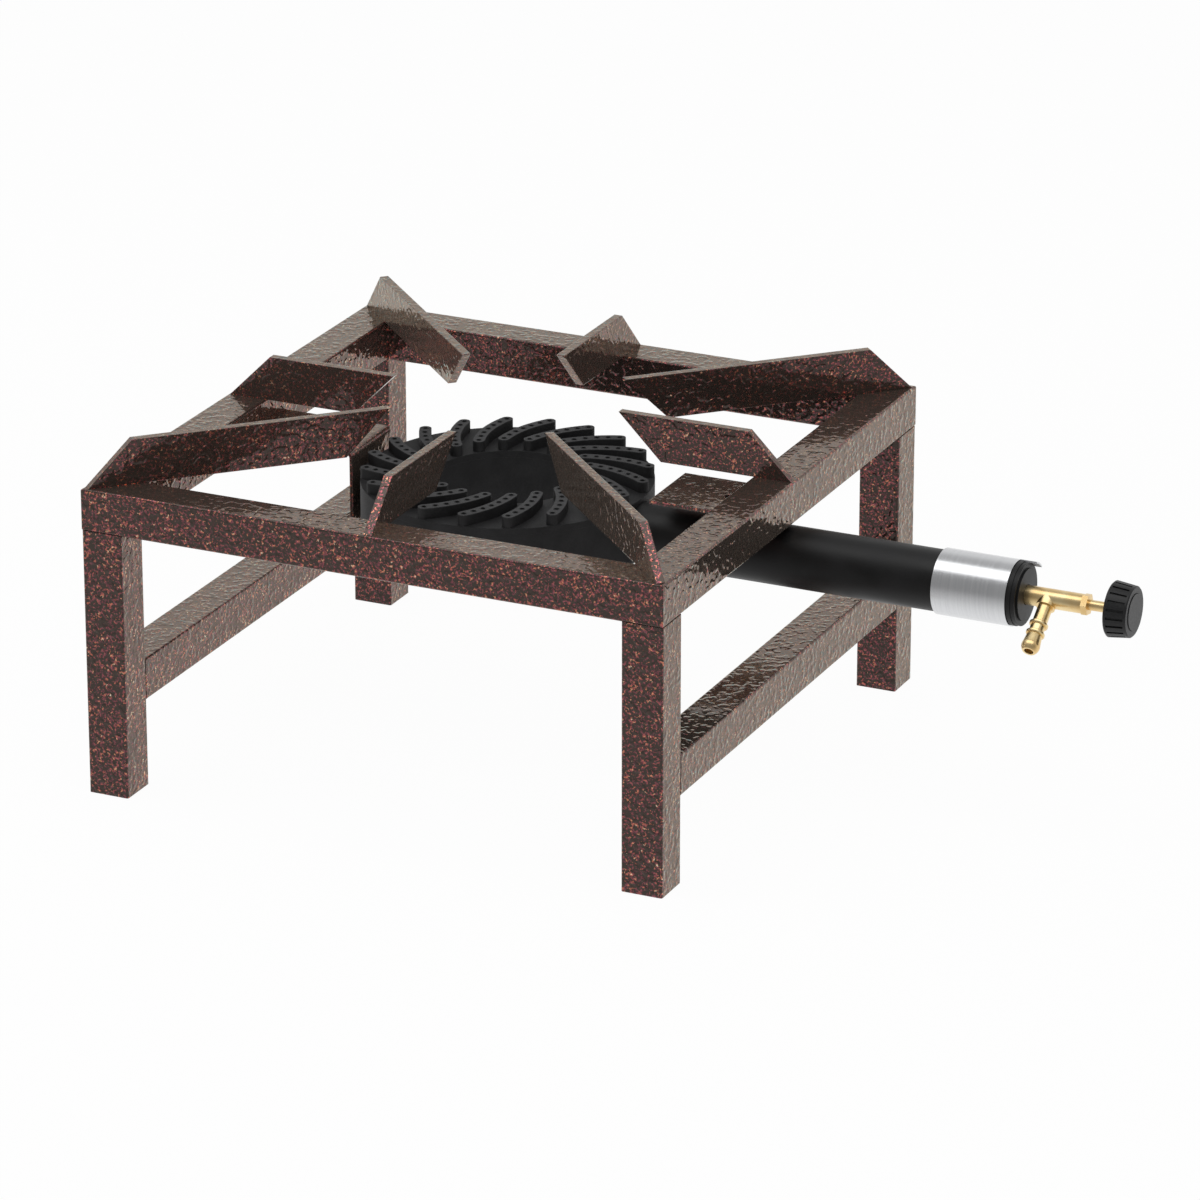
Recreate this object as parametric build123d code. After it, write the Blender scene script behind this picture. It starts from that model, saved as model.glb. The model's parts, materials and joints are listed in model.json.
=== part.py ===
from build123d import *
from math import atan2, degrees
import os

# Square tube frame, standing on the floor with the burner axis at x = 0, y = 0
frame_width = 360.0       # outside of the top frame
frame_height = 185.0      # floor to the top of the frame
tube_size = 25.0          # outside of the square tube
tube_wall = 1.5
tube_edge = 1.2           # outside radius of the tube's long edges
rail_lift = 52.0          # floor to the underside of the side rails

# Pot rests, flat bar on edge, both ends raked inward
rest_thickness = 5.0
rest_height = 26.5
rest_rake = 26.5          # lean of each end from foot to top
rest_tip = 71.5           # burner axis to the inner tips

# Straps that carry the burner
strap_width = 50.0
strap_thickness = 2.0
strap_drop = 15.2         # frame top down to the straps' top faces
tab_reach = 54.0          # length of the tab on the right bar
bend_radius = 4.0         # outside radius of the bracket's bend
bracket_gap = 2.5         # burner wall to the bracket's face
bracket_tail = 9.0        # bracket below the bolt that holds it

# Ring burner
burner_radius = 85.0
burner_bore = 44.0        # radius of the open middle
burner_drop = 25.0        # frame top down to the crown's deck
burner_wall = 4.0
bowl_margin = 1.1         # underside of the burner below the mixing tube
bowl_round = 5.0          # lower outside edge of the burner
crown_thickness = 4.0
lip_depth = 3.0           # locating lip under the crown
lip_width = 2.0
rib_count = 20
rib_width = 7.0
rib_rise = 6.6
rib_sweep = 20.2          # angle that each rib winds round the axis
rib_bend = 68.0           # radius of the ribs' centre line
rib_start = 7.9           # angle of the first rib's outer end
rib_inset = 0.3           # rib ends inside the deck's edges
gallery_width = 3.2       # gas gallery inside each rib
port_count = 7            # along each rib
port_radius = 1.5
port_sides = 6
port_depth = 2.5          # rib top down to the gallery

# Mixing tube with its air sleeve
mixing_radius = 17.7
mixing_wall = 2.5
mixing_clearance = 2.5    # mixing tube to the bar above it
mixing_end = 315.8        # burner axis to the tube's open end
neck_length = 20.0        # burner neck inside the tube
neck_wall = 3.0
window_count = 4
window_length = 9.0
window_width = 17.0
window_margin = 3.4       # windows to the tube's end
sleeve_length = 44.4
sleeve_wall = 1.0
tongue_length = 9.5
tongue_angle = 30.0
tongue_turn = 32.0        # middle of the tongue, from the top toward the back

# End disc
disc_radius = 18.4
disc_rim_depth = 0.4      # rim step of the disc's front half
disc_thickness = 5.0
disc_spigot = 3.0
disc_boss_radius = 15.0
disc_boss_height = 1.1

# Valve
valve_radius = 5.6
valve_length = 34.7
nose_radius = 4.0
nose_length = 18.0
gas_way = 1.5             # radius of the gas passages
seat_depth = 17.2         # valve seat behind the valve's outer end
lock_nut_size = 13.0      # across flats
lock_nut_thickness = 4.5
jet_radius = 3.2
jet_length = 7.0
gland_size = 11.0         # across flats
gland_turn = 20.0         # one flat turned up from the front
gland_thickness = 3.4
gland_depth = 3.0
gland_radius = 4.2
stem_radius = 3.0
stem_reach = 13.4         # gland to the back of the knob
needle_length = 5.0
seal_depth = 9.5          # spindle seal behind the valve's outer end
seal_groove = 1.2         # width of the seal's groove
seal_height = 1.05        # depth of the seal's groove

# Hose barb, pointing down toward the front
barb_place = 13.9         # disc face to the barb's axis
barb_tilt = 126.0         # turned from straight up
branch_radius = 5.5
branch_reach = 6.4        # valve axis to the branch's face
socket_floor = 2.2        # and to the floor of its socket
barb_neck = 4.2
barb_spigot = 3.0
barb_ring_places = (18.3, 24.4)
barb_ring_radii = (5.4, 5.4)
barb_ring_width = 2.0
barb_ring_edge = 0.5
barb_ball_place = 32.6
barb_ball_radius = 5.3
barb_tip = 36.3           # valve axis to the barb's mouth
barb_bore = 2.7

# Knob
knob_radius = 16.1
knob_front_radius = 14.7
knob_length = 13.6
knob_edge = 0.8           # bevel at the back
knob_bevel = 0.6          # and at the front
knob_socket = 8.0         # depth of the spindle in the knob
flute_count = 20
flute_width = 1.4
flute_depth = 1.0
flute_margin = 1.0        # flutes to the bevels
cap_radius = 10.5
cap_recess = 0.8          # depth of the cap in the knob
cap_rise = 0.4            # cap above the knob's face

# Fasteners, six millimetre thread
screw_radius = 3.0
screw_engagement = 8.0
screw_inset = 8.0         # tab screw from the bar's inner face
screw_head_radius = 5.0
screw_head_height = 1.8
screw_boss_radius = 7.0
slot_length = 14.5
slot_offset = 3.3         # slot's middle inward of the screw
bolt_head_size = 10.0     # across flats
bolt_head_height = 4.0
bolt_boss_radius = 9.0
washer_radius = 6.0
washer_thickness = 1.6

# Clearances
thread_play = 0.08        # fixed screwed and pressed joints
running_play = 0.05       # spindle in its bores
sliding_play = 0.3        # air sleeve on the tube and in the disc
hole_play = 0.3           # bolts in drilled straps

# Places that follow from the sizes above
half_side = frame_width / 2
tube_middle = half_side - tube_size / 2
bar_face = half_side - tube_size
leg_height = frame_height - tube_size
rest_top = frame_height + rest_height
strap_top = frame_height - strap_drop
strap_under = strap_top - strap_thickness
deck_top = frame_height - burner_drop
rim_top = deck_top - crown_thickness
rib_top = deck_top + rib_rise
inlet_axis = leg_height - mixing_clearance - mixing_radius
bowl_floor = inlet_axis - mixing_radius - bowl_margin
mixing_bore = mixing_radius - mixing_wall
bracket_face = -burner_radius - bracket_gap
screw_place = bar_face - screw_inset
disc_front = mixing_end + disc_thickness
sleeve_bore = mixing_radius + sliding_play
sleeve_radius = sleeve_bore + sleeve_wall
sleeve_end = mixing_end - sliding_play
nose_end = disc_front - nose_length
valve_end = disc_front + valve_length
seat = valve_end - seat_depth
seal_place = valve_end - seal_depth
gland_end = valve_end + gland_thickness
knob_back = gland_end + stem_reach
knob_end = knob_back + knob_length
knob_face = knob_end - cap_rise
barb_axis = Pos(disc_front + barb_place, 0, inlet_axis) * Rot(barb_tilt, 0, 0)
to_middle = Pos((half_side - knob_end) / 2, 0, 0)   # origin under the middle of the whole stove


def along_x(radius, start, end):
    return Pos((start + end) / 2, 0, inlet_axis) * Rot(0, 90, 0) * Cylinder(radius, end - start)


def along_z(radius, low, high):
    return Pos(0, 0, (low + high) / 2) * Cylinder(radius, high - low)


def hexagon_along_x(across_flats, start, end, turn=0):
    outline = RegularPolygon(across_flats / 2, 6, major_radius=False, rotation=turn)
    return Pos(start, 0, inlet_axis) * Rot(0, 90, 0) * extrude(outline, end - start)


def square_tube(length):
    tube = Box(length, tube_size, tube_size)
    tube = fillet(tube.edges().filter_by(Axis.X), tube_edge)
    hollow = tube_size - 2 * tube_wall
    return tube - Box(length, hollow, hollow)


def top_bar():
    inner = half_side - tube_size
    corners = [(-half_side, -half_side), (half_side, -half_side), (inner, -inner), (-inner, -inner)]
    mitre = extrude(make_face(Polyline(*corners, close=True)), frame_height)
    return Pos(0, -tube_middle, frame_height - tube_size / 2) * square_tube(frame_width) & mitre


def leg():
    return Pos(0, 0, leg_height / 2) * Rot(0, 90, 0) * square_tube(leg_height)


def side_rail():
    return Pos(0, 0, rail_lift + tube_size / 2) * Rot(0, 0, 90) * square_tube(2 * bar_face)


def pot_rest(foot):
    corners = [(foot, frame_height), (foot - rest_rake, rest_top), (rest_tip, rest_top),
               (rest_tip + rest_rake, frame_height)]
    outline = make_face(Polyline(*corners, close=True))
    return extrude(Plane.XZ * outline, rest_thickness / 2, both=True)


def burner_tab():
    plate = Box(tab_reach, strap_width, strap_thickness)
    tab = Pos(bar_face - tab_reach / 2, 0, strap_top - strap_thickness / 2) * plate
    outline = SlotOverall(slot_length, 2 * (screw_radius + hole_play))
    slot = extrude(outline, strap_thickness, both=True)
    return tab - Pos(screw_place - slot_offset, 0, strap_top) * slot


def burner_bracket():
    back = bracket_face - strap_thickness
    foot = inlet_axis - bolt_boss_radius - bracket_tail
    corners = [(-bar_face, strap_top), (bracket_face, strap_top), (bracket_face, foot), (back, foot),
               (back, strap_under), (-bar_face, strap_under)]
    strap = extrude(Plane.XZ * make_face(Polyline(*corners, close=True)), strap_width / 2, both=True)
    outer_bend = strap.edges().sort_by_distance((bracket_face, 0, strap_top))[0]
    strap = fillet(outer_bend, bend_radius)
    inner_bend = strap.edges().sort_by_distance((back, 0, strap_under))[0]
    strap = fillet(inner_bend, bend_radius - strap_thickness)
    return strap - along_x(screw_radius + hole_play, back - strap_thickness, bracket_face + strap_thickness)


def burner_body():
    body = along_z(burner_radius, bowl_floor, rim_top)
    body = fillet(body.edges().sort_by(Axis.Z)[0], bowl_round)
    body += along_x(mixing_bore - thread_play, burner_radius - burner_wall, burner_radius + neck_length)
    body += along_x(bolt_boss_radius, bracket_face, burner_wall - burner_radius)
    trough = along_z(burner_radius - burner_wall, bowl_floor + burner_wall, deck_top)
    body -= trough - along_z(burner_bore + burner_wall, bowl_floor, deck_top)
    body -= along_z(burner_bore, bowl_floor, deck_top)
    inlet = mixing_bore - thread_play - neck_wall
    body -= along_x(inlet, burner_radius - 2 * burner_wall, burner_radius + neck_length)
    return body - along_x(screw_radius + thread_play, bracket_face, burner_wall / 4 - burner_radius)


def rib_line():
    outer = burner_radius - rib_inset - rib_width / 2
    inner = burner_bore + rib_inset + rib_width / 2
    return RadiusArc((outer, 0), Vector(inner, 0).rotate(Axis.Z, rib_sweep), -rib_bend)


def rib():
    return extrude(Pos(0, 0, deck_top) * SlotArc(rib_line(), rib_width), rib_rise)


def rib_gasway():
    line = rib_line()
    roof = rib_top - port_depth
    hollow = Pos(0, 0, rim_top) * extrude(trace(line, gallery_width), roof - rim_top)
    port = Pos(0, 0, roof) * extrude(RegularPolygon(port_radius, port_sides), port_depth)
    return hollow + [Pos(line @ (n / (port_count - 1))) * port for n in range(port_count)]


def burner_crown():
    lip = burner_radius - burner_wall - sliding_play
    lip_foot = rim_top - lip_depth
    crown = along_z(burner_radius, rim_top, deck_top)
    crown += along_z(lip, lip_foot, rim_top) - along_z(lip - lip_width, lip_foot, rim_top)
    crown -= along_z(burner_bore, rim_top, deck_top)
    turns = [Rot(0, 0, rib_start + number * 360 / rib_count) for number in range(rib_count)]
    ribs, gasway = rib(), rib_gasway()
    crown += [turn * ribs for turn in turns]
    return crown - [turn * gasway for turn in turns]


def mixing_tube():
    boss = Pos(screw_place, 0, 0)
    tube = along_x(mixing_radius, 0, mixing_end)
    tube += boss * along_z(screw_boss_radius, inlet_axis, strap_under)
    tube -= along_x(mixing_bore, 0, mixing_end)
    tube -= along_z(burner_radius, 0, frame_height)
    tube -= boss * along_z(screw_radius + thread_play, strap_under - screw_engagement, strap_under)
    window = Pos(0, 0, mixing_radius) * Box(window_length, window_width, mixing_radius)
    middle = Pos(mixing_end - window_margin - window_length / 2, 0, inlet_axis)
    for number in range(window_count):
        tube -= middle * Rot((number + 0.5) * 360 / window_count, 0, 0) * window
    return tube


def tongue_sector(spread, start, end):
    reach = 4 * sleeve_radius
    wedge = make_face(Polyline((0, 0), Vector(0, reach).rotate(Axis.Z, spread / 2),
                               Vector(0, reach).rotate(Axis.Z, -spread / 2), close=True))
    face = Plane((start, 0, inlet_axis), x_dir=(0, 1, 0), z_dir=(1, 0, 0)) * Rot(0, 0, -tongue_turn)
    return extrude(face * wedge, end - start)


def air_sleeve():
    sleeve = along_x(sleeve_radius, sleeve_end - sleeve_length, sleeve_end)
    tip = sleeve_end + tongue_length
    sleeve += along_x(sleeve_radius, sleeve_end, tip) & tongue_sector(tongue_angle, sleeve_end, tip)
    return sleeve - along_x(sleeve_bore, sleeve_end - sleeve_length, tip)


def end_disc():
    middle = mixing_end + disc_thickness / 2
    disc = along_x(disc_radius, mixing_end, middle)
    disc += along_x(disc_radius - disc_rim_depth, middle, disc_front)
    disc += along_x(mixing_bore - thread_play, mixing_end - disc_spigot, mixing_end)
    rim = along_x(disc_radius + sleeve_wall, mixing_end, disc_front)
    rim -= along_x(sleeve_bore - sliding_play, mixing_end, disc_front)
    disc -= rim & tongue_sector(tongue_angle + 2 * disc_rim_depth, mixing_end, disc_front)
    disc += along_x(disc_boss_radius, disc_front, disc_front + disc_boss_height)
    disc -= along_x(valve_radius + sliding_play, disc_front, disc_front + disc_boss_height)
    return disc - along_x(nose_radius + thread_play, mixing_end - disc_spigot, disc_front)


def valve_body():
    body = along_x(valve_radius, disc_front, valve_end) + along_x(nose_radius, nose_end, disc_front)
    body += barb_axis * along_z(branch_radius, 0, branch_reach)
    body -= along_x(gas_way, nose_end, seat)
    body -= along_x(stem_radius + running_play, seat, valve_end)
    body -= along_x(gland_radius + thread_play, valve_end - gland_depth, valve_end)
    body -= barb_axis * along_z(barb_spigot + thread_play, socket_floor, branch_reach)
    return body - barb_axis * along_z(gas_way, 0, branch_reach)


def valve_lock_nut():
    end = mixing_end - disc_spigot
    nut = hexagon_along_x(lock_nut_size, end - lock_nut_thickness, end)
    return nut - along_x(nose_radius + thread_play, end - lock_nut_thickness, end)


def gas_jet():
    jet = along_x(jet_radius, nose_end - jet_length / 2, nose_end)
    tip = Rot(0, -90, 0) * Cone(jet_radius, jet_radius / 2, jet_length / 2)
    jet += Pos(nose_end - 0.75 * jet_length, 0, inlet_axis) * tip
    jet += along_x(gas_way - thread_play, nose_end, nose_end + jet_length / 2)
    return jet - along_x(gas_way / 3, nose_end - jet_length, nose_end + jet_length / 2)


def hose_barb():
    start = socket_floor + sliding_play
    barb = along_z(barb_spigot, start, branch_reach) + along_z(barb_neck, branch_reach, barb_ball_place)
    for place, radius in zip(barb_ring_places, barb_ring_radii):
        ring = along_z(radius, place - barb_ring_width / 2, place + barb_ring_width / 2)
        barb += chamfer(ring.edges().filter_by(GeomType.CIRCLE), barb_ring_edge)
    flare = barb_ball_place - barb_ring_places[-1]
    barb += Pos(0, 0, barb_ball_place - flare / 2) * Cone(barb_neck, barb_ball_radius, flare)
    barb += Pos(0, 0, barb_ball_place) * Sphere(barb_ball_radius)
    barb -= along_z(2 * barb_ball_radius, barb_tip, barb_tip + barb_ball_radius)
    barb -= along_z(gas_way, start, barb_ball_place)
    return barb_axis * (barb - along_z(barb_bore, barb_ball_place - barb_bore, barb_tip))


def gland_nut():
    nut = hexagon_along_x(gland_size, valve_end, gland_end, gland_turn)
    nut += along_x(gland_radius, valve_end - gland_depth, valve_end)
    return nut - along_x(stem_radius + running_play, valve_end - gland_depth, gland_end)


def spindle():
    shoulder = seat + needle_length
    stem = along_x(stem_radius, shoulder, knob_back + knob_socket)
    needle = Rot(0, -90, 0) * Cone(stem_radius - sliding_play, gas_way - sliding_play, needle_length)
    stem += Pos(shoulder - needle_length / 2, 0, inlet_axis) * needle
    start = seal_place - seal_groove / 2
    groove = along_x(2 * stem_radius, start, start + seal_groove)
    return stem - (groove - along_x(stem_radius - seal_height, start, start + seal_groove))


def spindle_seal():
    start = seal_place - seal_groove / 2 + running_play
    end = seal_place + seal_groove / 2 - running_play
    return along_x(stem_radius, start, end) - along_x(stem_radius - seal_height + running_play, start, end)


def knob():
    start = knob_back + knob_edge
    end = knob_face - knob_bevel
    side = [(knob_back, 0), (knob_back, knob_radius - knob_edge), (start, knob_radius),
            (end, knob_front_radius), (knob_face, knob_front_radius - knob_bevel), (knob_face, 0)]
    body = Pos(0, 0, inlet_axis) * revolve(Plane.XZ * make_face(Polyline(*side, close=True)), Axis.X)
    body -= along_x(cap_radius + sliding_play, knob_face - cap_recess, knob_face)
    body -= along_x(stem_radius + thread_play, knob_back, knob_back + knob_socket)
    slope = degrees(atan2(knob_radius - knob_front_radius, end - start))
    flute = Rot(0, slope, 0) * Box(end - start - 2 * flute_margin, flute_width, 2 * flute_depth)
    flute = Pos((start + end) / 2, 0, (knob_radius + knob_front_radius) / 2) * flute
    turns = [Rot(number * 360 / flute_count, 0, 0) for number in range(flute_count)]
    return body - [Pos(0, 0, inlet_axis) * turn * flute for turn in turns]


def knob_cap():
    return along_x(cap_radius, knob_face - cap_recess, knob_end)


def tab_screw():
    screw = along_z(screw_radius, strap_under - screw_engagement + sliding_play, strap_top)
    head = along_z(screw_head_radius, strap_top, strap_top + screw_head_height)
    head = chamfer(head.edges().sort_by(Axis.Z)[-1], screw_head_height / 2)
    return Pos(screw_place, 0, 0) * (screw + head)


def bracket_washer():
    back = bracket_face - strap_thickness
    washer = along_x(washer_radius, back - washer_thickness, back)
    return washer - along_x(screw_radius + hole_play, back - washer_thickness, back)


def bracket_bolt():
    seat_face = bracket_face - strap_thickness - washer_thickness
    bolt = hexagon_along_x(bolt_head_size, seat_face - bolt_head_height, seat_face)
    return bolt + along_x(screw_radius, seat_face, burner_wall / 4 - burner_radius - sliding_play)


def stove():
    parts = {}
    for turn, side in zip(range(0, 360, 90), ("front", "right", "back", "left")):
        parts["top_bar_" + side] = Rot(0, 0, turn) * top_bar()
        parts["pot_rest_" + side] = Rot(0, 0, turn - 90) * pot_rest(half_side - tube_edge)
    corner_foot = half_side * 2 ** 0.5 - rest_thickness / 2 - tube_edge
    for across, side in ((-1, "left"), (1, "right")):
        parts["side_rail_" + side] = Pos(across * tube_middle, 0, 0) * side_rail()
        for along, end in ((-1, "front"), (1, "back")):
            corner = end + "_" + side
            parts["leg_" + corner] = Pos(across * tube_middle, along * tube_middle, 0) * leg()
            turn = along * (90 - across * 45)
            parts["pot_rest_" + corner] = Rot(0, 0, turn) * pot_rest(corner_foot)
    for piece in (burner_tab, burner_bracket, burner_body, burner_crown, mixing_tube, air_sleeve, end_disc,
                  valve_body, valve_lock_nut, gas_jet, hose_barb, gland_nut, spindle, spindle_seal, knob,
                  knob_cap, tab_screw, bracket_bolt, bracket_washer):
        parts[piece.__name__] = piece()
    return parts


os.makedirs("parts", exist_ok=True)
for name, shape in stove().items():
    export_step(to_middle * shape, "parts/" + name + ".step")
    print(name)
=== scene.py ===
import json
from math import cos, radians, sin, sqrt, tau

import bpy
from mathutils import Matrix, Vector


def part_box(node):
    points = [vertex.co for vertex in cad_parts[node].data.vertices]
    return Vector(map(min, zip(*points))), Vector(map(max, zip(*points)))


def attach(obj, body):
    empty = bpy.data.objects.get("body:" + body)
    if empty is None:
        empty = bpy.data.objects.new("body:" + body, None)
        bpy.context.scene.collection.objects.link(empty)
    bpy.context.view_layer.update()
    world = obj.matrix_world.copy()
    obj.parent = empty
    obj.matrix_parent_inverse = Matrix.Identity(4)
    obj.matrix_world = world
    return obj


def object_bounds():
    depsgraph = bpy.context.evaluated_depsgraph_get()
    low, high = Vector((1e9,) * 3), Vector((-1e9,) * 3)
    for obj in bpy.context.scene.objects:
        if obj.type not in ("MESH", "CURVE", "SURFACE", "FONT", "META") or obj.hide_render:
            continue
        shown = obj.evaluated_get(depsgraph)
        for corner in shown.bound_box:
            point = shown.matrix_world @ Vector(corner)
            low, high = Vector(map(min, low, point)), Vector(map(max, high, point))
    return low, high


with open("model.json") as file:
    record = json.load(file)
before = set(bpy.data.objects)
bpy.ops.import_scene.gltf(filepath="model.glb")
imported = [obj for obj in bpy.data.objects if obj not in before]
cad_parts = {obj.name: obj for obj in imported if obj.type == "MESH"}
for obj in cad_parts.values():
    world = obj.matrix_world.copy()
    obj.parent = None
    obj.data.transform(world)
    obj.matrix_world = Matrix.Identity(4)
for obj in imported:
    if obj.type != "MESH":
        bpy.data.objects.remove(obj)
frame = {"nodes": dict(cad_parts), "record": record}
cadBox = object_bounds()
nodes = frame["nodes"]
slotOf = {part["node"]: part["material_slot"] for part in frame["record"]["subparts"]}
crownLow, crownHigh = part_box("burner_crown")
sleeveLow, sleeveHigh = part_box("air_sleeve")
scene = bpy.context.scene
mm = 0.001
noiseSpan = (0.3, 0.7)           # nearly all values of a noise texture lie between these
noiseMiddle = 0.5                # and this is their average
edgeSamples = 4                  # rays that round an edge
print("frame loaded:", len(nodes), "pieces")


def linear(hexColour):  # sRGB hex to linear colour with alpha
    parts = [int(hexColour[start:start + 2], 16) / 255 for start in (1, 3, 5)]
    return [part / 12.92 if part <= 0.04045 else ((part + 0.055) / 1.055) ** 2.4 for part in parts] + [1.0]


def addNode(tree, kind, inputs=None, stops=None, **settings):  # one node with its settings and links
    node = tree.nodes.new(kind)
    for name, value in settings.items():
        setattr(node, name, value)
    for key, value in (inputs or {}).items():
        if isinstance(value, bpy.types.NodeSocket):
            tree.links.new(value, node.inputs[key])
        else:
            node.inputs[key].default_value = value
    for number, (place, colour) in enumerate(stops or []):
        ramp = node.color_ramp.elements
        stop = ramp[number] if number < len(ramp) else ramp.new(place)
        stop.position = place
        stop.color = linear(colour)
    return node


def newFinish(name):  # empty material with its tree
    finish = bpy.data.materials.new(name)
    finish.use_nodes = True
    finish.node_tree.nodes.clear()
    return finish, finish.node_tree


def wear(tree, shader):  # last link of a finish
    addNode(tree, "ShaderNodeOutputMaterial", {"Surface": shader.outputs[0]})


# studio: white paper under a wide softbox, with a small key lamp at the left

white = linear("#ffffff")

studio = {
    "fill": 0.45,                # even light from all round on matte faces
    "skyBack": 0.82,             # what gloss sees low behind the stove
    "skyFront": 0.32,            # low in front of it
    "skyHigh": 0.5,              # straight up
    "skyUnder": 0.97,            # and straight down
    "frontSpan": (-1.0, 0.0),    # rise of a direction, from under the stove to its front
    "backSpan": (-0.1, 0.2),     # from under it to its back
    "highSpan": (0.5, 0.9),      # from low to high
    "depthSpan": (-0.4, 0.5),    # depth of a direction, from front to back
    "floorSize": 14.0,           # m
    "floorColour": "#f6f6f6",
    "floorGlow": 0.965,          # share of the floor that stays white where a shadow falls
}

lamps = {                        # way is a direction from the stove's middle, lengths are in m, power in W
    "softbox": {"way": (0.0, -0.26, 0.96), "away": 1.6, "size": (2.6, 1.05), "power": 11.2},
    "key": {"way": (-0.85, -0.45, 0.27), "away": 1.7, "size": (0.8, 0.8), "power": 4.0},
}

view = {
    "target": (-0.053692, 0.020391, 0.084708),    # m, the point in the middle of the picture
    "azimuth": 24.913,           # degrees to the right of the front
    "elevation": 21.271,         # degrees up
    "distance": 3.8088,          # m
    "lens": 196.864,             # mm
    "sensor": 36.0,              # mm
}


def seenWhite(tree, rays):  # one for rays that should meet the white background
    seen = rays["Is Camera Ray"]
    for ray in ("Is Glossy Ray", "Is Transmission Ray"):
        seen = addNode(tree, "ShaderNodeMath", {0: seen, 1: rays[ray]}, operation="MAXIMUM").outputs[0]
    return seen


def buildWorld():  # white to the eye, and to gloss a sky that is darker in front and above
    world = bpy.data.worlds.new("studio")
    world.use_nodes = True
    tree = world.node_tree
    tree.nodes.clear()
    rays = addNode(tree, "ShaderNodeLightPath").outputs
    seen = seenWhite(tree, rays)
    way = addNode(tree, "ShaderNodeTexCoord").outputs["Generated"]
    parts = addNode(tree, "ShaderNodeSeparateXYZ", {0: way}).outputs
    front = addNode(tree, "ShaderNodeMapRange", {
        "Value": parts["Z"], "From Min": studio["frontSpan"][0], "From Max": studio["frontSpan"][1],
        "To Min": studio["skyUnder"], "To Max": studio["skyFront"]}).outputs[0]
    back = addNode(tree, "ShaderNodeMapRange", {
        "Value": parts["Z"], "From Min": studio["backSpan"][0], "From Max": studio["backSpan"][1],
        "To Min": studio["skyUnder"], "To Max": studio["skyBack"]}).outputs[0]
    low = addNode(tree, "ShaderNodeMapRange", {
        "Value": parts["Y"], "From Min": studio["depthSpan"][0], "From Max": studio["depthSpan"][1],
        "To Min": front, "To Max": back}, interpolation_type="SMOOTHSTEP").outputs[0]
    sky = addNode(tree, "ShaderNodeMapRange", {
        "Value": parts["Z"], "From Min": studio["highSpan"][0], "From Max": studio["highSpan"][1],
        "To Min": low, "To Max": studio["skyHigh"]}, interpolation_type="SMOOTHSTEP").outputs[0]
    glossy = addNode(tree, "ShaderNodeMix", {"Factor": seen, "A": studio["fill"], "B": sky}).outputs[0]
    level = addNode(tree, "ShaderNodeMix", {
        "Factor": rays["Is Camera Ray"], "A": glossy, "B": 1.0}).outputs[0]
    glow = addNode(tree, "ShaderNodeBackground", {"Color": white, "Strength": level}).outputs[0]
    addNode(tree, "ShaderNodeOutputWorld", {"Surface": glow})
    scene.world = world


def buildFloor():  # paper that keeps a faint shadow
    half = studio["floorSize"] / 2
    corners = [(-half, -half, 0), (half, -half, 0), (half, half, 0), (-half, half, 0)]
    mesh = bpy.data.meshes.new("floor")
    mesh.from_pydata(corners, [], [(0, 1, 2, 3)])
    floor = bpy.data.objects.new("floor", mesh)
    scene.collection.objects.link(floor)
    finish, tree = newFinish("white paper floor")
    seen = seenWhite(tree, addNode(tree, "ShaderNodeLightPath").outputs)
    share = addNode(tree, "ShaderNodeMath", {
        0: seen, 1: studio["floorGlow"]}, operation="MULTIPLY").outputs[0]
    paper = addNode(tree, "ShaderNodeBsdfDiffuse", {"Color": linear(studio["floorColour"])}).outputs[0]
    glow = addNode(tree, "ShaderNodeEmission", {"Color": white, "Strength": 1.0}).outputs[0]
    wear(tree, addNode(tree, "ShaderNodeMixShader", {0: share, 1: paper, 2: glow}))
    mesh.materials.append(finish)
    floor.visible_glossy = False  # gloss sees the studio below instead


def addLamp(name, way, away, size, power):
    lamp = bpy.data.lights.new(name, "AREA")
    lamp.shape = "RECTANGLE"
    lamp.size, lamp.size_y = size
    lamp.energy = power
    holder = bpy.data.objects.new(name, lamp)
    middle = (cadBox[0] + cadBox[1]) / 2
    holder.location = middle + Vector(way).normalized() * away
    holder.rotation_euler = (middle - holder.location).to_track_quat("-Z", "Y").to_euler()
    holder.visible_camera = False
    scene.collection.objects.link(holder)


def addCamera():
    lens = bpy.data.cameras.new("camera")
    lens.lens = view["lens"]
    lens.sensor_width = view["sensor"]
    lens.sensor_fit = "HORIZONTAL"
    holder = bpy.data.objects.new("camera", lens)
    turn, rise = radians(view["azimuth"]), radians(view["elevation"])
    way = Vector((cos(rise) * sin(turn), -cos(rise) * cos(turn), sin(rise)))
    holder.location = Vector(view["target"]) + way * view["distance"]
    holder.rotation_euler = (-way).to_track_quat("-Z", "Y").to_euler()
    scene.collection.objects.link(holder)
    scene.camera = holder


scene.view_settings.view_transform = "Standard"
buildWorld()
buildFloor()
for name, lamp in lamps.items():
    addLamp(name, **lamp)
addCamera()
print("studio ready")


# hammered copper paint: brown enamel full of copper flakes that dents as it dries, so that a face
# seen straight on sparkles red, and a face seen at a slant turns brown and shows its dents

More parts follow.
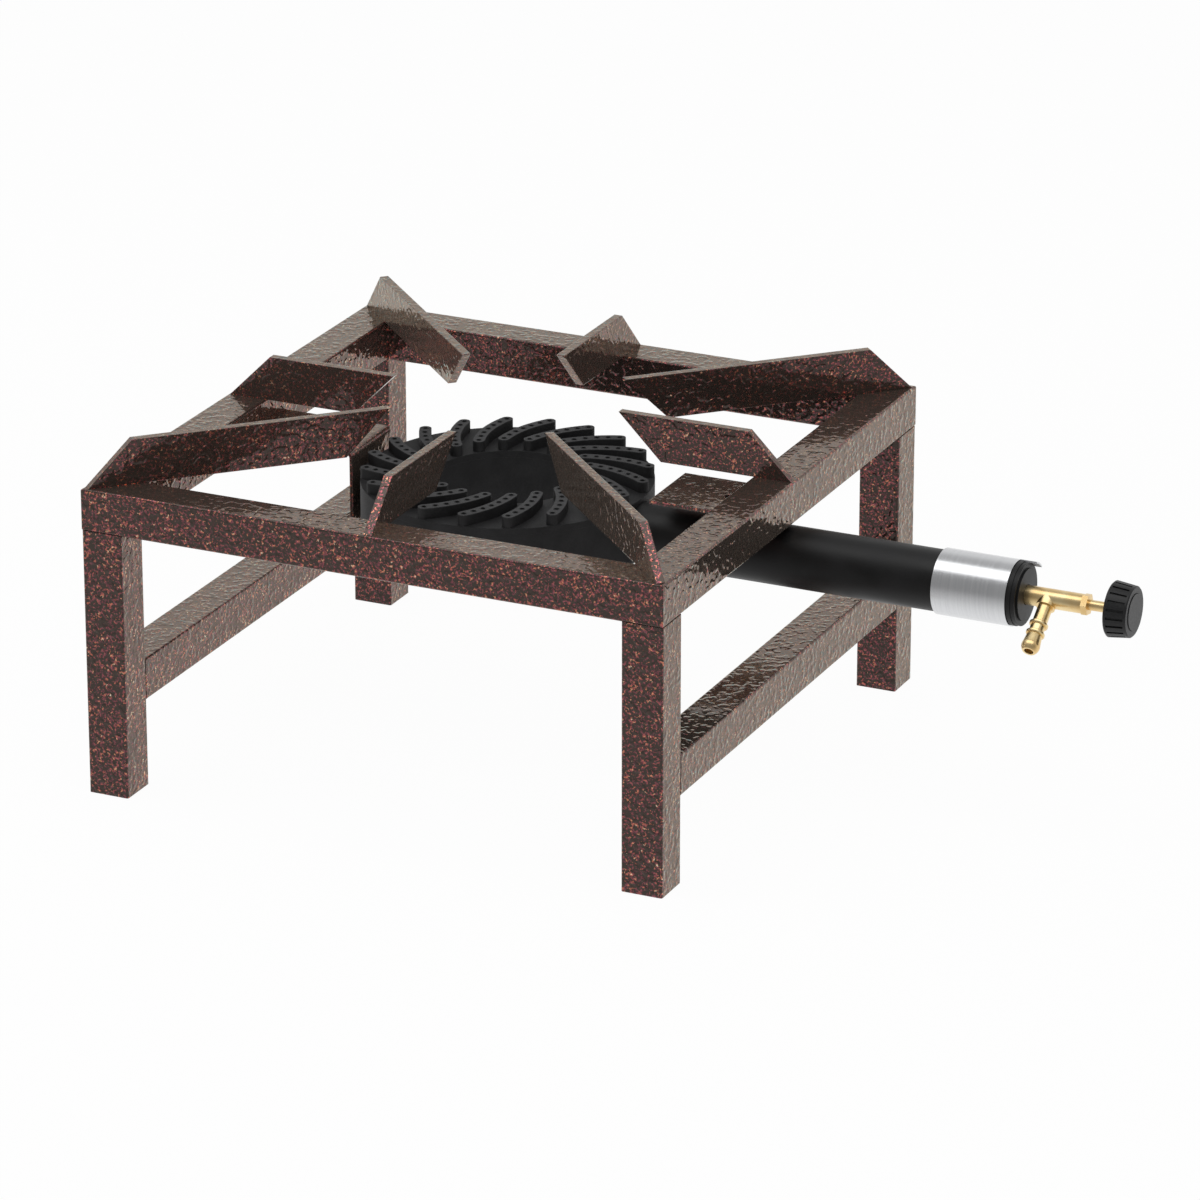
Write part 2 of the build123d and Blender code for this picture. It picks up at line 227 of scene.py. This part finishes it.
hammered = {
    "ground": "#33261e",         # dark brown binder
    "groundSlant": "#f4d8c0",    # its tint at a glancing angle
    "flakes": [(0.0, "#4a222a"), (0.32, "#7e3a47"), (0.52, "#a75059"),
               (0.70, "#d17157"), (0.86, "#eeaa7c"), (0.96, "#f6dcc4")],
    "flakeSlant": "#00cbc3",     # flakes lose their red at a glancing angle
    "flakeSize": 1.35,           # mm, worms and dots of copper
    "flakeRagged": 0.55,         # how uneven their outlines are
    "flakeWarp": 0.4,            # and how bent
    "flakeLevel": 0.548,         # more is barer
    "flakeBlur": 0.018,          # softness of a flake's outline
    "patchSize": 9.0,            # mm, where flakes gather
    "patchPull": 0.09,           # how much they gather
    "patchGlow": 0.35,           # bright flakes keep to the patches
    "shadeSize": 1.89,           # mm, how far one shade of copper runs
    "shadeShift": (0.31, 0.17, 0.53),    # m, so that a flake's shade and outline are not alike
    "shadeSpan": (0.28, 0.78),   # noise values from the darkest to the brightest copper
    "dentSize": 3.6,             # mm, hammer dents
    "dentWarp": 0.2,
    "dentSpan": (0.45, 0.75),    # noise values from the hollows to the ridges
    "dentDepth": 0.22,           # mm
    "roughness": (0.13, 0.14),   # ground, flakes
    "coatWeight": 0.85,
    "coatRoughness": 0.05,
    "coatIor": 1.5,
    "sheenWeight": 0.12,         # brown haze of the binder
    "sheenTint": "#d0bcae",
    "sheenRoughness": 0.9,
    "edge": 0.7,                 # mm, the paint rounds every edge
}

shadedCoat = {                     # copy of the paint for the flat bars and straps: shallower dents, more sheen, and fewer flakes as painted shade where their faces mirror dark parts
    "flakeLevel": 0.555,
    "dentDepth": 0.12,           # mm
    "sheenWeight": 0.16,
}
flatPieces = ("pot_rest", "burner_tab", "burner_bracket")    # how their names start


def hammeredPaint(name, look):
    finish, tree = newFinish(name)
    place = addNode(tree, "ShaderNodeTexCoord").outputs["Object"]
    worms = addNode(tree, "ShaderNodeTexNoise", {
        "Vector": place, "Scale": 1 / (look["flakeSize"] * mm), "Detail": 2.0,
        "Roughness": look["flakeRagged"], "Distortion": look["flakeWarp"]}).outputs["Fac"]
    patches = addNode(tree, "ShaderNodeTexNoise", {
        "Vector": place, "Scale": 1 / (look["patchSize"] * mm), "Detail": 2.0}).outputs["Fac"]
    pull = addNode(tree, "ShaderNodeMath", {0: patches, 1: noiseMiddle}, operation="SUBTRACT").outputs[0]
    gathered = addNode(tree, "ShaderNodeMath", {
        0: pull, 1: look["patchPull"], 2: worms}, operation="MULTIPLY_ADD").outputs[0]
    flakes = addNode(tree, "ShaderNodeMapRange", {
        "Value": gathered, "From Min": look["flakeLevel"] - look["flakeBlur"],
        "From Max": look["flakeLevel"] + look["flakeBlur"]}, interpolation_type="SMOOTHSTEP").outputs[0]
    shifted = addNode(tree, "ShaderNodeMapping", {
        "Vector": place, "Location": look["shadeShift"]}).outputs[0]
    shade = addNode(tree, "ShaderNodeTexNoise", {
        "Vector": shifted, "Scale": 1 / (look["shadeSize"] * mm), "Detail": 1.0}).outputs["Fac"]
    lifted = addNode(tree, "ShaderNodeMath", {
        0: pull, 1: look["patchGlow"], 2: shade}, operation="MULTIPLY_ADD").outputs[0]
    spread = addNode(tree, "ShaderNodeMapRange", {
        "Value": lifted, "From Min": look["shadeSpan"][0], "From Max": look["shadeSpan"][1]}).outputs[0]
    copper = addNode(tree, "ShaderNodeValToRGB", {"Fac": spread}, stops=look["flakes"]).outputs[0]
    colour = addNode(tree, "ShaderNodeMix", {  # 6 and 7 are a Mix node's colours
        0: flakes, 6: linear(look["ground"]), 7: copper}, data_type="RGBA").outputs[2]
    slant = addNode(tree, "ShaderNodeMix", {
        0: flakes, 6: linear(look["groundSlant"]),
        7: linear(look["flakeSlant"])}, data_type="RGBA").outputs[2]
    rough = addNode(tree, "ShaderNodeMix", {
        "Factor": flakes, "A": look["roughness"][0], "B": look["roughness"][1]}).outputs[0]
    dents = addNode(tree, "ShaderNodeTexNoise", {
        "Vector": place, "Scale": 1 / (look["dentSize"] * mm), "Detail": 0.0,
        "Distortion": look["dentWarp"]}).outputs["Fac"]
    ridges = addNode(tree, "ShaderNodeMapRange", {
        "Value": dents, "From Min": look["dentSpan"][0], "From Max": look["dentSpan"][1]},
        interpolation_type="SMOOTHSTEP").outputs[0]
    rounded = addNode(tree, "ShaderNodeBevel", {"Radius": look["edge"] * mm}, samples=edgeSamples).outputs[0]
    skin = addNode(tree, "ShaderNodeBump", {
        "Height": ridges, "Distance": look["dentDepth"] * mm, "Normal": rounded}).outputs[0]
    wear(tree, addNode(tree, "ShaderNodeBsdfPrincipled", {
        "Base Color": colour, "Metallic": 1.0, "Roughness": rough, "Specular Tint": slant, "Normal": skin,
        "Coat Weight": look["coatWeight"], "Coat Roughness": look["coatRoughness"],
        "Coat IOR": look["coatIor"], "Coat Normal": skin, "Sheen Weight": look["sheenWeight"],
        "Sheen Tint": linear(look["sheenTint"]), "Sheen Roughness": look["sheenRoughness"]}))
    return finish


# grey cast iron: a sand-cast skin, dry, dark and grainy, with a painted highlight that makes the rib tops a
# lighter grey

castIron = {
    "tones": [(0.45, "#121213"), (1.0, "#29292a")],
    "grain": 1.1,                # mm, sand grain, drawn a little coarse so that it shows
    "grainShare": 0.5,           # weight of the grain beside the blotches
    "grainDepth": 0.12,          # mm
    "blotch": 14.0,              # mm, uneven darkening
    "roughness": (0.55, 0.75),
    "gloss": 0.35,
    # painted highlight: a lighter grey for the rib tops, standing in for the light they catch
    "ribTopHighlight": "#3a3a3b",
    "ribHighlightSpan": (0.6, 0.1),       # mm below the rib tops, where the painted highlight begins and is full
    "edge": 0.5,                 # mm, cast edges are never sharp
}


def castIronSkin(look):
    finish, tree = newFinish("grey cast iron")
    place = addNode(tree, "ShaderNodeTexCoord").outputs["Object"]
    grain = addNode(tree, "ShaderNodeTexNoise", {
        "Vector": place, "Scale": 1 / (look["grain"] * mm), "Detail": 3.0}).outputs["Fac"]
    blotch = addNode(tree, "ShaderNodeTexNoise", {
        "Vector": place, "Scale": 1 / (look["blotch"] * mm), "Detail": 3.0}).outputs["Fac"]
    mixed = addNode(tree, "ShaderNodeMath", {
        0: grain, 1: look["grainShare"], 2: blotch}, operation="MULTIPLY_ADD").outputs[0]
    cast = addNode(tree, "ShaderNodeValToRGB", {"Fac": mixed}, stops=look["tones"]).outputs[0]
    rough = addNode(tree, "ShaderNodeMapRange", {
        "Value": grain, "To Min": look["roughness"][0], "To Max": look["roughness"][1]}).outputs[0]
    height = addNode(tree, "ShaderNodeSeparateXYZ", {0: place}).outputs["Z"]
    # painted highlight: the colour turns to the lighter rib-top grey just under the top of the crown
    litTops = addNode(tree, "ShaderNodeMapRange", {
        "Value": height, "From Min": crownHigh.z - look["ribHighlightSpan"][0] * mm,
        "From Max": crownHigh.z - look["ribHighlightSpan"][1] * mm}).outputs[0]
    colour = addNode(tree, "ShaderNodeMix", {
        0: litTops, 6: cast, 7: linear(look["ribTopHighlight"])}, data_type="RGBA").outputs[2]
    rounded = addNode(tree, "ShaderNodeBevel", {"Radius": look["edge"] * mm}, samples=edgeSamples).outputs[0]
    skin = addNode(tree, "ShaderNodeBump", {
        "Height": grain, "Distance": look["grainDepth"] * mm, "Normal": rounded}).outputs[0]
    wear(tree, addNode(tree, "ShaderNodeBsdfPrincipled", {
        "Base Color": colour, "Roughness": rough, "Normal": skin, "Specular IOR Level": look["gloss"]}))
    return finish


# matte black stove paint: sprayed on, so the tube is a soft black with a faint orange peel

stoveBlack = {
    "tones": [(0.35, "#0f0f0f"), (0.7, "#19191a")],
    "cloud": 20.0,               # mm, uneven spraying
    "peel": 2.2,                 # mm, orange peel
    "peelDepth": 0.03,           # mm
    "roughness": (0.38, 0.5),
    "gloss": 0.32,
}


def stoveBlackPaint(look):
    finish, tree = newFinish("matte black stove paint")
    place = addNode(tree, "ShaderNodeTexCoord").outputs["Object"]
    cloud = addNode(tree, "ShaderNodeTexNoise", {
        "Vector": place, "Scale": 1 / (look["cloud"] * mm), "Detail": 4.0}).outputs["Fac"]
    peel = addNode(tree, "ShaderNodeTexNoise", {
        "Vector": place, "Scale": 1 / (look["peel"] * mm), "Detail": 2.0}).outputs["Fac"]
    colour = addNode(tree, "ShaderNodeValToRGB", {"Fac": cloud}, stops=look["tones"]).outputs[0]
    rough = addNode(tree, "ShaderNodeMapRange", {
        "Value": cloud, "From Min": noiseSpan[0], "From Max": noiseSpan[1],
        "To Min": look["roughness"][0], "To Max": look["roughness"][1]}).outputs[0]
    skin = addNode(tree, "ShaderNodeBump", {"Height": peel, "Distance": look["peelDepth"] * mm}).outputs[0]
    wear(tree, addNode(tree, "ShaderNodeBsdfPrincipled", {
        "Base Color": colour, "Roughness": rough, "Normal": skin, "Specular IOR Level": look["gloss"]}))
    return finish


# turned aluminium: lathe lines round the sleeve spread the light to a bright satin, the bore stays dull

aluminium = {
    "tones": [(0.35, "#d6d7d9"), (0.65, "#dcdddf")],
    "line": 0.9,                 # mm between lathe lines, drawn coarser than they are so that they show
    "lineDepth": 0.0002,         # mm
    "smear": 60.0,               # mm that a line runs round
    "roughness": (0.2, 0.25),
    "boreRoughness": 0.6,
    "boreEdge": (18.1, 18.4),    # mm from the sleeve's axis, between its bore and its turned outside
}


def turnedAluminium(look):
    finish, tree = newFinish("turned aluminium")
    place = addNode(tree, "ShaderNodeTexCoord").outputs["Object"]
    across, along = 1 / (look["line"] * mm), 1 / (look["smear"] * mm)
    drawn = addNode(tree, "ShaderNodeMapping", {"Vector": place, "Scale": (across, along, along)}).outputs[0]
    lines = addNode(tree, "ShaderNodeTexNoise", {
        "Vector": drawn, "Scale": 1.0, "Detail": 3.0}).outputs["Fac"]
    colour = addNode(tree, "ShaderNodeValToRGB", {"Fac": lines}, stops=look["tones"]).outputs[0]
    turned = addNode(tree, "ShaderNodeMapRange", {
        "Value": lines, "From Min": noiseSpan[0], "From Max": noiseSpan[1],
        "To Min": look["roughness"][0], "To Max": look["roughness"][1]}).outputs[0]
    skin = addNode(tree, "ShaderNodeBump", {"Height": lines, "Distance": look["lineDepth"] * mm}).outputs[0]
    axis = (0.0, 0.0, (sleeveLow.z + sleeveHigh.z) / 2)
    crosswise = (0.0, 1.0, 1.0)  # the sleeve lies along X
    arm = addNode(tree, "ShaderNodeVectorMath", {0: place, 1: axis}, operation="SUBTRACT").outputs[0]
    spoke = addNode(tree, "ShaderNodeVectorMath", {0: arm, 1: crosswise}, operation="MULTIPLY").outputs[0]
    reach = addNode(tree, "ShaderNodeVectorMath", {0: spoke}, operation="LENGTH").outputs["Value"]
    outside = addNode(tree, "ShaderNodeMapRange", {
        "Value": reach, "From Min": look["boreEdge"][0] * mm,
        "From Max": look["boreEdge"][1] * mm}).outputs[0]
    rough = addNode(tree, "ShaderNodeMix", {
        "Factor": outside, "A": look["boreRoughness"], "B": turned}).outputs[0]
    wear(tree, addNode(tree, "ShaderNodeBsdfPrincipled", {
        "Base Color": colour, "Metallic": 1.0, "Roughness": rough, "Normal": skin}))
    return finish


# turned brass: warm satin, a little clouded by handling

brass = {
    "tones": [(0.35, "#e6c48a"), (0.65, "#f6dfac")],
    "cloud": 9.0,                # mm, where it was handled
    "mark": 0.7,                 # mm, tool marks, drawn coarser than they are
    "markDepth": 0.00005,        # mm
    "roughness": (0.27, 0.31),
}


def turnedBrass(look):
    finish, tree = newFinish("turned brass")
    place = addNode(tree, "ShaderNodeTexCoord").outputs["Object"]
    cloud = addNode(tree, "ShaderNodeTexNoise", {
        "Vector": place, "Scale": 1 / (look["cloud"] * mm), "Detail": 4.0}).outputs["Fac"]
    marks = addNode(tree, "ShaderNodeTexNoise", {
        "Vector": place, "Scale": 1 / (look["mark"] * mm), "Detail": 2.0}).outputs["Fac"]
    colour = addNode(tree, "ShaderNodeValToRGB", {"Fac": cloud}, stops=look["tones"]).outputs[0]
    rough = addNode(tree, "ShaderNodeMapRange", {
        "Value": cloud, "From Min": noiseSpan[0], "From Max": noiseSpan[1],
        "To Min": look["roughness"][0], "To Max": look["roughness"][1]}).outputs[0]
    skin = addNode(tree, "ShaderNodeBump", {"Height": marks, "Distance": look["markDepth"] * mm}).outputs[0]
    wear(tree, addNode(tree, "ShaderNodeBsdfPrincipled", {
        "Base Color": colour, "Metallic": 1.0, "Roughness": rough, "Normal": skin}))
    return finish


# moulded black plastic: satin, broken up by the spark texture of its mould

plastic = {
    "tones": [(0.3, "#141415"), (0.7, "#222223")],
    "spark": 0.9,                # mm, drawn coarser than it is so that it shows
    "sparkDepth": 0.03,          # mm
    "roughness": (0.34, 0.46),
    "gloss": 0.35,
}


def mouldedPlastic(look):
    finish, tree = newFinish("moulded black plastic")
    place = addNode(tree, "ShaderNodeTexCoord").outputs["Object"]
    spark = addNode(tree, "ShaderNodeTexNoise", {
        "Vector": place, "Scale": 1 / (look["spark"] * mm), "Detail": 3.0}).outputs["Fac"]
    colour = addNode(tree, "ShaderNodeValToRGB", {"Fac": spark}, stops=look["tones"]).outputs[0]
    rough = addNode(tree, "ShaderNodeMapRange", {
        "Value": spark, "From Min": noiseSpan[0], "From Max": noiseSpan[1],
        "To Min": look["roughness"][0], "To Max": look["roughness"][1]}).outputs[0]
    skin = addNode(tree, "ShaderNodeBump", {"Height": spark, "Distance": look["sparkDepth"] * mm}).outputs[0]
    wear(tree, addNode(tree, "ShaderNodeBsdfPrincipled", {
        "Base Color": colour, "Roughness": rough, "Normal": skin, "Specular IOR Level": look["gloss"]}))
    return finish


# nitrile rubber: an even, dull black

rubber = {
    "tones": [(0.3, "#101010"), (0.7, "#191919")],
    "grain": 0.6,                # mm
    "roughness": 0.7,
}


def nitrileRubber(look):
    finish, tree = newFinish("nitrile rubber")
    place = addNode(tree, "ShaderNodeTexCoord").outputs["Object"]
    grain = addNode(tree, "ShaderNodeTexNoise", {
        "Vector": place, "Scale": 1 / (look["grain"] * mm), "Detail": 2.0}).outputs["Fac"]
    colour = addNode(tree, "ShaderNodeValToRGB", {"Fac": grain}, stops=look["tones"]).outputs[0]
    wear(tree, addNode(tree, "ShaderNodeBsdfPrincipled", {
        "Base Color": colour, "Roughness": look["roughness"]}))
    return finish


# zinc plated steel: pale grey, with faint spangles that differ in gloss

zinc = {
    "tones": [(0.2, "#a9abad"), (0.8, "#c9cbcc")],
    "spangle": 2.5,              # mm
    "roughness": (0.3, 0.45),
}


def zincPlate(look):
    finish, tree = newFinish("zinc plated steel")
    place = addNode(tree, "ShaderNodeTexCoord").outputs["Object"]
    spangle = addNode(tree, "ShaderNodeTexVoronoi", {
        "Vector": place, "Scale": 1 / (look["spangle"] * mm)}).outputs["Color"]
    colour = addNode(tree, "ShaderNodeValToRGB", {"Fac": spangle}, stops=look["tones"]).outputs[0]
    rough = addNode(tree, "ShaderNodeMapRange", {
        "Value": spangle, "To Min": look["roughness"][0], "To Max": look["roughness"][1]}).outputs[0]
    wear(tree, addNode(tree, "ShaderNodeBsdfPrincipled", {
        "Base Color": colour, "Metallic": 1.0, "Roughness": rough}))
    return finish


finishes = {
    "hammered_paint": hammeredPaint("hammered copper paint", hammered),
    "cast_iron": castIronSkin(castIron),
    "black_paint": stoveBlackPaint(stoveBlack),
    "aluminium": turnedAluminium(aluminium),
    "brass": turnedBrass(brass),
    "knob_plastic": mouldedPlastic(plastic),
    "seal_rubber": nitrileRubber(rubber),
    "zinc_steel": zincPlate(zinc),
    # the flat pieces wear a copy with fewer flakes, which is painted shade
    "shaded_paint": hammeredPaint("hammered copper paint with painted shade", {**hammered, **shadedCoat}),
}
for name, node in nodes.items():
    coat = "shaded_paint" if name.startswith(flatPieces) else slotOf[name]
    for slot in node.material_slots:
        slot.material = finishes[coat]
print("finishes on:", len(finishes))


# port lips: each gas port keeps a thin rounded collar from casting

portLips = {
    "ribs": 20,
    "ports": 7,                  # along each rib
    "start": 7.9,                # degrees, the first rib's outer end
    "sweep": 20.2,               # degrees that a rib winds round the burner's axis
    "outer": 81.2,               # mm from that axis to a rib's first port
    "inner": 47.8,               # mm to its last port
    "bend": 68.0,                # mm, radius of a rib's centre line
    "radius": 1.62,              # mm, middle of the collar
    "thick": 0.34,               # mm, half the collar's thickness
    "flat": 0.45,                # collar height over its width
    "lineSteps": 64,             # points along a rib's centre line
    "lipSides": 12,
    "rollSides": 4,              # sides of the collar's own section
}


def ribLine():  # three points of a rib's centre line, worked out from its bend
    turn = radians(portLips["sweep"])
    outer = Vector((1.0, 0.0, 0.0)) * portLips["outer"] * mm
    inner = Vector((cos(turn), sin(turn), 0.0)) * portLips["inner"] * mm
    chord = inner - outer
    bend = portLips["bend"] * mm
    bulge = bend - sqrt(bend ** 2 - (chord.length / 2) ** 2)
    middle = (outer + inner) / 2 + Vector((chord.y, -chord.x, 0.0)).normalized() * bulge
    return {"Outer": list(outer), "Middle": list(middle), "Inner": list(inner)}


def portLipTree():  # one collar, a row of them along a rib, the row round the axis
    tree = bpy.data.node_groups.new("port lips", "GeometryNodeTree")
    tree.interface.new_socket("Geometry", in_out="OUTPUT", socket_type="NodeSocketGeometry")
    kinds = {"Ribs": "Int", "Ports": "Int", "Start": "Float", "Outer": "Vector", "Middle": "Vector",
             "Inner": "Vector", "Radius": "Float", "Thick": "Float", "Axis": "Vector", "Finish": "Material"}
    for name, kind in kinds.items():
        tree.interface.new_socket(name, in_out="INPUT", socket_type="NodeSocket" + kind)
    given = addNode(tree, "NodeGroupInput").outputs
    line = addNode(tree, "GeometryNodeCurveArc", {
        "Resolution": portLips["lineSteps"], "Start": given["Outer"], "Middle": given["Middle"],
        "End": given["Inner"]}, mode="POINTS").outputs["Curve"]
    places = addNode(tree, "GeometryNodeResampleCurve", {
        "Curve": line, "Count": given["Ports"]}, mode="COUNT").outputs[0]
    ring = addNode(tree, "GeometryNodeCurvePrimitiveCircle", {
        "Resolution": portLips["lipSides"], "Radius": given["Radius"]}).outputs[0]
    section = addNode(tree, "GeometryNodeCurvePrimitiveCircle", {
        "Resolution": portLips["rollSides"], "Radius": given["Thick"]}).outputs[0]
    lip = addNode(tree, "GeometryNodeCurveToMesh", {"Curve": ring, "Profile Curve": section}).outputs[0]
    row = addNode(tree, "GeometryNodeInstanceOnPoints", {
        "Points": places, "Instance": lip, "Scale": (1.0, 1.0, portLips["flat"])}).outputs[0]
    hub = addNode(tree, "GeometryNodePoints", {"Count": given["Ribs"]}).outputs[0]
    step = addNode(tree, "ShaderNodeMath", {0: tau, 1: given["Ribs"]}, operation="DIVIDE").outputs[0]
    number = addNode(tree, "GeometryNodeInputIndex").outputs[0]
    turn = addNode(tree, "ShaderNodeMath", {
        0: number, 1: step, 2: given["Start"]}, operation="MULTIPLY_ADD").outputs[0]
    spin = addNode(tree, "ShaderNodeCombineXYZ", {"Z": turn}).outputs[0]
    crown = addNode(tree, "GeometryNodeInstanceOnPoints", {
        "Points": hub, "Instance": row, "Rotation": spin}).outputs[0]
    placed = addNode(tree, "GeometryNodeTransform", {
        "Geometry": crown, "Translation": given["Axis"]}).outputs[0]
    whole = addNode(tree, "GeometryNodeRealizeInstances", {"Geometry": placed}).outputs[0]
    worn = addNode(tree, "GeometryNodeSetMaterial", {
        "Geometry": whole, "Material": given["Finish"]}).outputs[0]
    addNode(tree, "NodeGroupOutput", {"Geometry": worn})
    return tree


def grow(tree, name, values):  # one mesh from a node group, its inputs set by identifier
    holder = bpy.data.objects.new(name, bpy.data.meshes.new(name))
    scene.collection.objects.link(holder)
    maker = holder.modifiers.new("maker", "NODES")
    maker.node_group = tree
    for item in tree.interface.items_tree:
        if item.in_out == "INPUT":
            maker[item.identifier] = values[item.name]
    grown = holder.evaluated_get(bpy.context.evaluated_depsgraph_get())
    mesh = bpy.data.meshes.new_from_object(grown)
    holder.modifiers.remove(maker)
    holder.data = mesh
    return holder


def addPortLips():
    lips = grow(portLipTree(), "port_lips", {
        "Ribs": portLips["ribs"], "Ports": portLips["ports"], "Start": radians(portLips["start"]),
        "Radius": portLips["radius"] * mm, "Thick": portLips["thick"] * mm,
        "Axis": [(crownLow.x + crownHigh.x) / 2, (crownLow.y + crownHigh.y) / 2, crownHigh.z],
        "Finish": finishes["cast_iron"], **ribLine()})
    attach(lips, "frame")
    print("port lips:", len(lips.data.polygons), "faces")


addPortLips()
